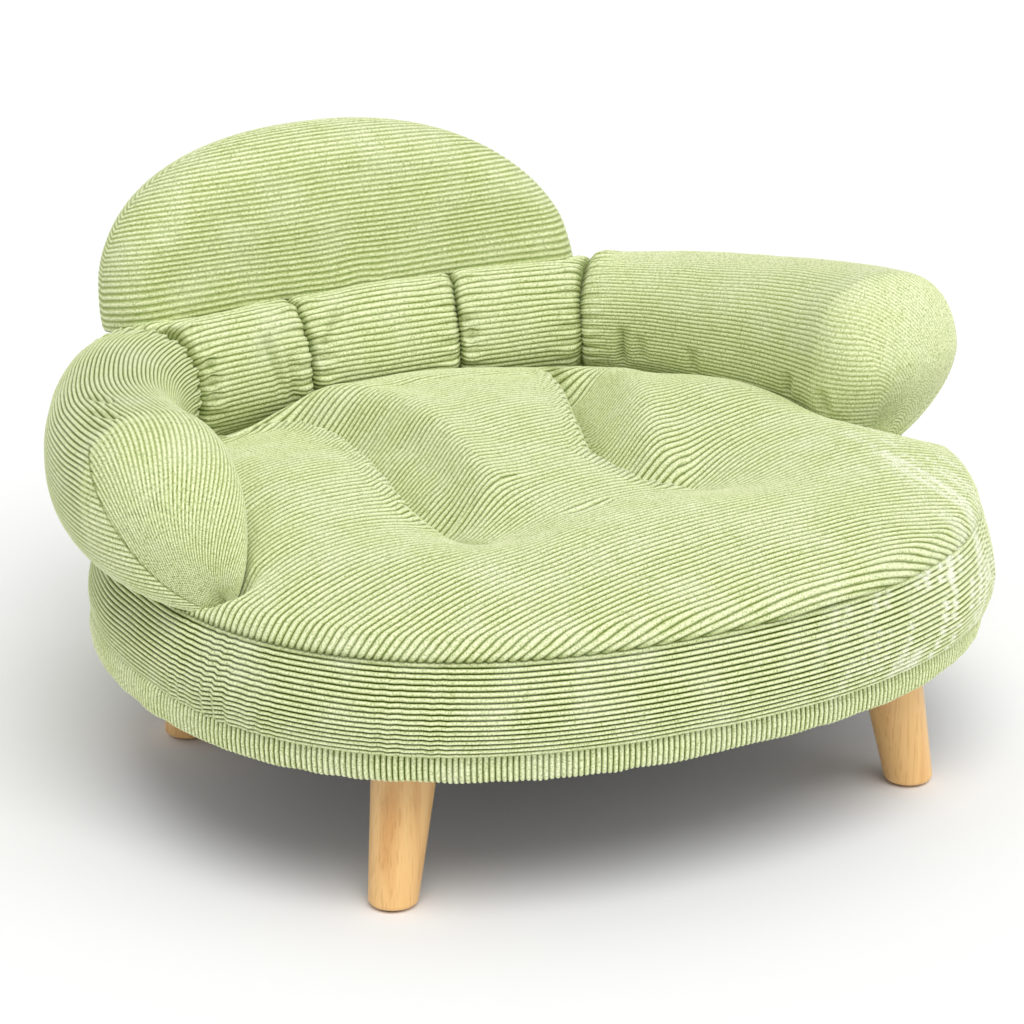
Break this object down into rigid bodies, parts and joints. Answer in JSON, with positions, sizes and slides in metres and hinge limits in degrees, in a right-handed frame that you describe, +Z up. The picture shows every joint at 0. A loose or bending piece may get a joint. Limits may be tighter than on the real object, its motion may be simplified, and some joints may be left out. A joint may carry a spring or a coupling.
{
  "type": "dog sofa bed",
  "caption": "Small oval pet sofa with a tufted round cushion, wrap-round arm bolsters, a half-moon headrest and splayed wooden legs.",
  "frame": {"origin": "on the floor, at the middle of the whole object's footprint box, which lies behind the middle of the base because the back overhangs it", "axes": "+Z up, -Y towards the open front of the seat, +X towards the right arm as seen from the front"},
  "size_m": [0.806, 0.6848, 0.4405],
  "materials": {
    "corduroy": "ribbed",
    "fibre_filling": "soft",
    "beech": "satin",
    "plywood": "raw",
    "foam": "soft",
    "dust_cloth": "matte",
    "hook_tape": "rough",
    "tie_cord": "twisted",
    "zip_cloth": "woven",
    "zip_metal": "satin",
    "zinc_steel": "zinc plated",
    "glide_nylon": "matte"
  },
  "bodies": {
    "base": {"base_board": "plywood", "base_padding": "foam", "base_cover": "corduroy", "dust_cover": "dust_cloth", "staples": "zinc_steel", "leg_front_left": "beech", "leg_front_right": "beech", "leg_rear_left": "beech", "leg_rear_right": "beech", "leg_plate_front_left": "zinc_steel", "leg_plate_front_right": "zinc_steel", "leg_plate_rear_left": "zinc_steel", "leg_plate_rear_right": "zinc_steel", "hanger_bolt_front_left": "zinc_steel", "hanger_bolt_front_right": "zinc_steel", "hanger_bolt_rear_left": "zinc_steel", "hanger_bolt_rear_right": "zinc_steel", "plate_screws": "zinc_steel", "foot_glide_front_left": "glide_nylon", "foot_glide_front_right": "glide_nylon", "foot_glide_rear_left": "glide_nylon", "foot_glide_rear_right": "glide_nylon", "hook_strips": "hook_tape"},
    "cushions": {"loop_strips": "hook_tape", "seat_cover": "corduroy", "seat_fill": "fibre_filling", "tuft_ties": "tie_cord", "left_arm_cover": "corduroy", "left_arm_fill": "fibre_filling", "right_arm_cover": "corduroy", "right_arm_fill": "fibre_filling", "back_left_cover": "corduroy", "back_middle_cover": "corduroy", "back_right_cover": "corduroy", "back_left_fill": "fibre_filling", "back_middle_fill": "fibre_filling", "back_right_fill": "fibre_filling", "headrest_cover": "corduroy", "headrest_fill": "fibre_filling", "zip_tape": "zip_cloth"},
    "zip_slider": {"zip_slider": "zip_metal"},
    "zip_pull": {"zip_pull": "zip_metal"}
  },
  "joints": [
    {"name": "cushion_lift", "type": "slide", "parent": "base", "child": "cushions", "axis": [0, 0, 1], "range_m": [0, 0.25]},
    {"name": "zip_slide", "type": "slide", "parent": "cushions", "child": "zip_slider", "axis": [-1, 0, 0], "range_m": [0, 0.284]},
    {"name": "pull_swing", "type": "hinge", "parent": "zip_slider", "child": "zip_pull", "pos_m": [0.143, 0.33975, 0.34736], "axis": [0, -0.0872, -0.9962], "range_deg": [0, 175]}
  ]
}
